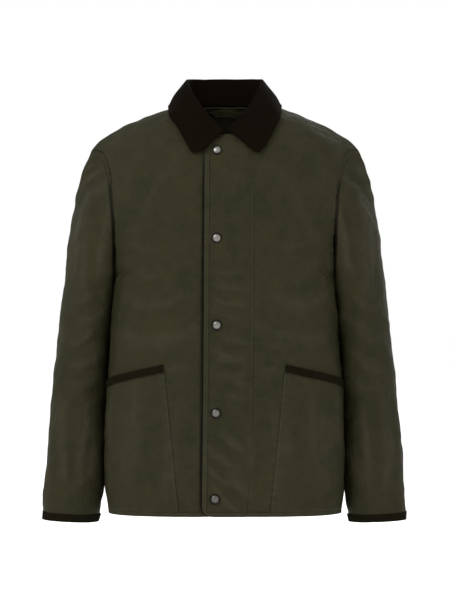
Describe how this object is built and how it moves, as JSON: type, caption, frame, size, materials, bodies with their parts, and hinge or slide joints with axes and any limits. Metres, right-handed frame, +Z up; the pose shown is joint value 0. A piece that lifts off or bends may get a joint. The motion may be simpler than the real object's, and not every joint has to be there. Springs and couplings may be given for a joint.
{
  "type": "waxed cotton jacket",
  "caption": "Hip-length jacket of waxed cotton, filled out and hollow, with a folded corduroy collar, snapped storm placket and slanted patch pockets.",
  "frame": {"origin": "middle of the neck opening, level with the top of the shoulder seams, where the wearer's neck and shoulders hold the jacket up", "axes": "+Z up, -Y the way the front faces, +X towards the wearer's left"},
  "size_m": [0.6288, 0.23, 0.7678],
  "materials": {
    "waxed_cotton": "dark olive waxed cotton with a low waxy sheen",
    "corduroy": "very dark brown needlecord, matt with a soft nap",
    "lining": "dark brown cotton lining, matt",
    "snap_metal": "pale nickel, satin"
  },
  "bodies": {
    "root": {"back": "waxed_cotton", "front_left": "waxed_cotton", "front_right": "waxed_cotton", "placket": "waxed_cotton", "placket_binding": "waxed_cotton", "sleeve_left": "waxed_cotton", "sleeve_right": "waxed_cotton", "collar": "corduroy", "pocket_left": "waxed_cotton", "pocket_right": "waxed_cotton", "pocket_binding_left": "corduroy", "pocket_binding_right": "corduroy", "cuff_binding_left": "corduroy", "cuff_binding_right": "corduroy", "hem_binding_back": "waxed_cotton", "hem_binding_left": "waxed_cotton", "hem_binding_right": "waxed_cotton", "back_lining": "lining", "back_neck_facing": "waxed_cotton", "snap_1": "snap_metal", "snap_2": "snap_metal", "snap_3": "snap_metal", "snap_4": "snap_metal", "snap_5": "snap_metal"}
  },
  "joints": []
}
